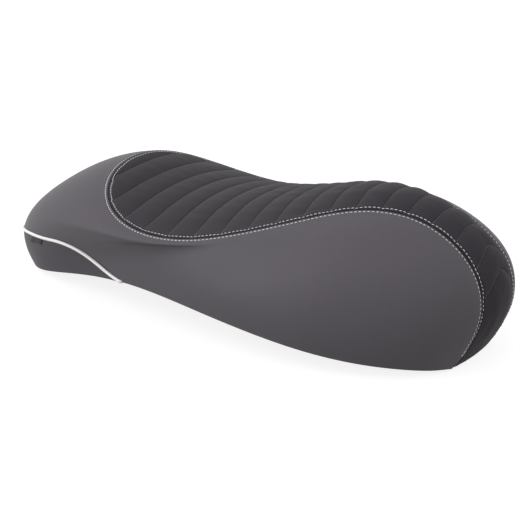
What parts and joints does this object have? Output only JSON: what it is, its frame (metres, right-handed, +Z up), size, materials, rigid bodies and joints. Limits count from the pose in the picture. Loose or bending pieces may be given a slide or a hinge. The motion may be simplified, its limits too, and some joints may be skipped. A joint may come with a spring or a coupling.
{
  "type": "scooter seat",
  "caption": "Long padded scooter seat: channelled centre panel, smooth side cover, rear skirt with white piping, moulded pan with hinge, latch striker and buffers.",
  "frame": {"origin": "middle of the seat's bounding box in plan, on the surface that it lies on", "axes": "+X from the tail to the nose, +Y to the left of the rider, +Z up"},
  "size_m": [0.7138, 0.3028, 0.1876],
  "materials": {
    "pan_plastic": "fine moulded grain",
    "seat_foam": "open-cell polyurethane foam",
    "channel_fabric": "matt textile, stitched in channels",
    "side_vinyl": "fine-grained matt vinyl",
    "skirt_vinyl": "fine-grained matt vinyl",
    "piping_vinyl": "smooth white vinyl over a cord",
    "tag_fabric": "woven ribbon, blank",
    "black_steel": "black e-coat",
    "zinc_steel": "zinc plated",
    "striker_steel": "zinc plated",
    "insert_brass": "turned brass",
    "buffer_rubber": "matt moulded rubber"
  },
  "bodies": {
    "root": {"seat_pan": "pan_plastic", "foam_cushion": "seat_foam", "centre_panel": "channel_fabric", "side_cover": "side_vinyl", "rear_skirt": "skirt_vinyl", "piping_cord": "piping_vinyl", "label_tag": "tag_fabric", "hinge_bracket": "black_steel", "hinge_bolts": "zinc_steel", "latch_striker": "striker_steel", "striker_bolts": "zinc_steel", "threaded_inserts": "insert_brass", "buffer_rear_left": "buffer_rubber", "buffer_rear_right": "buffer_rubber", "buffer_front_left": "buffer_rubber", "buffer_front_right": "buffer_rubber"}
  },
  "joints": []
}
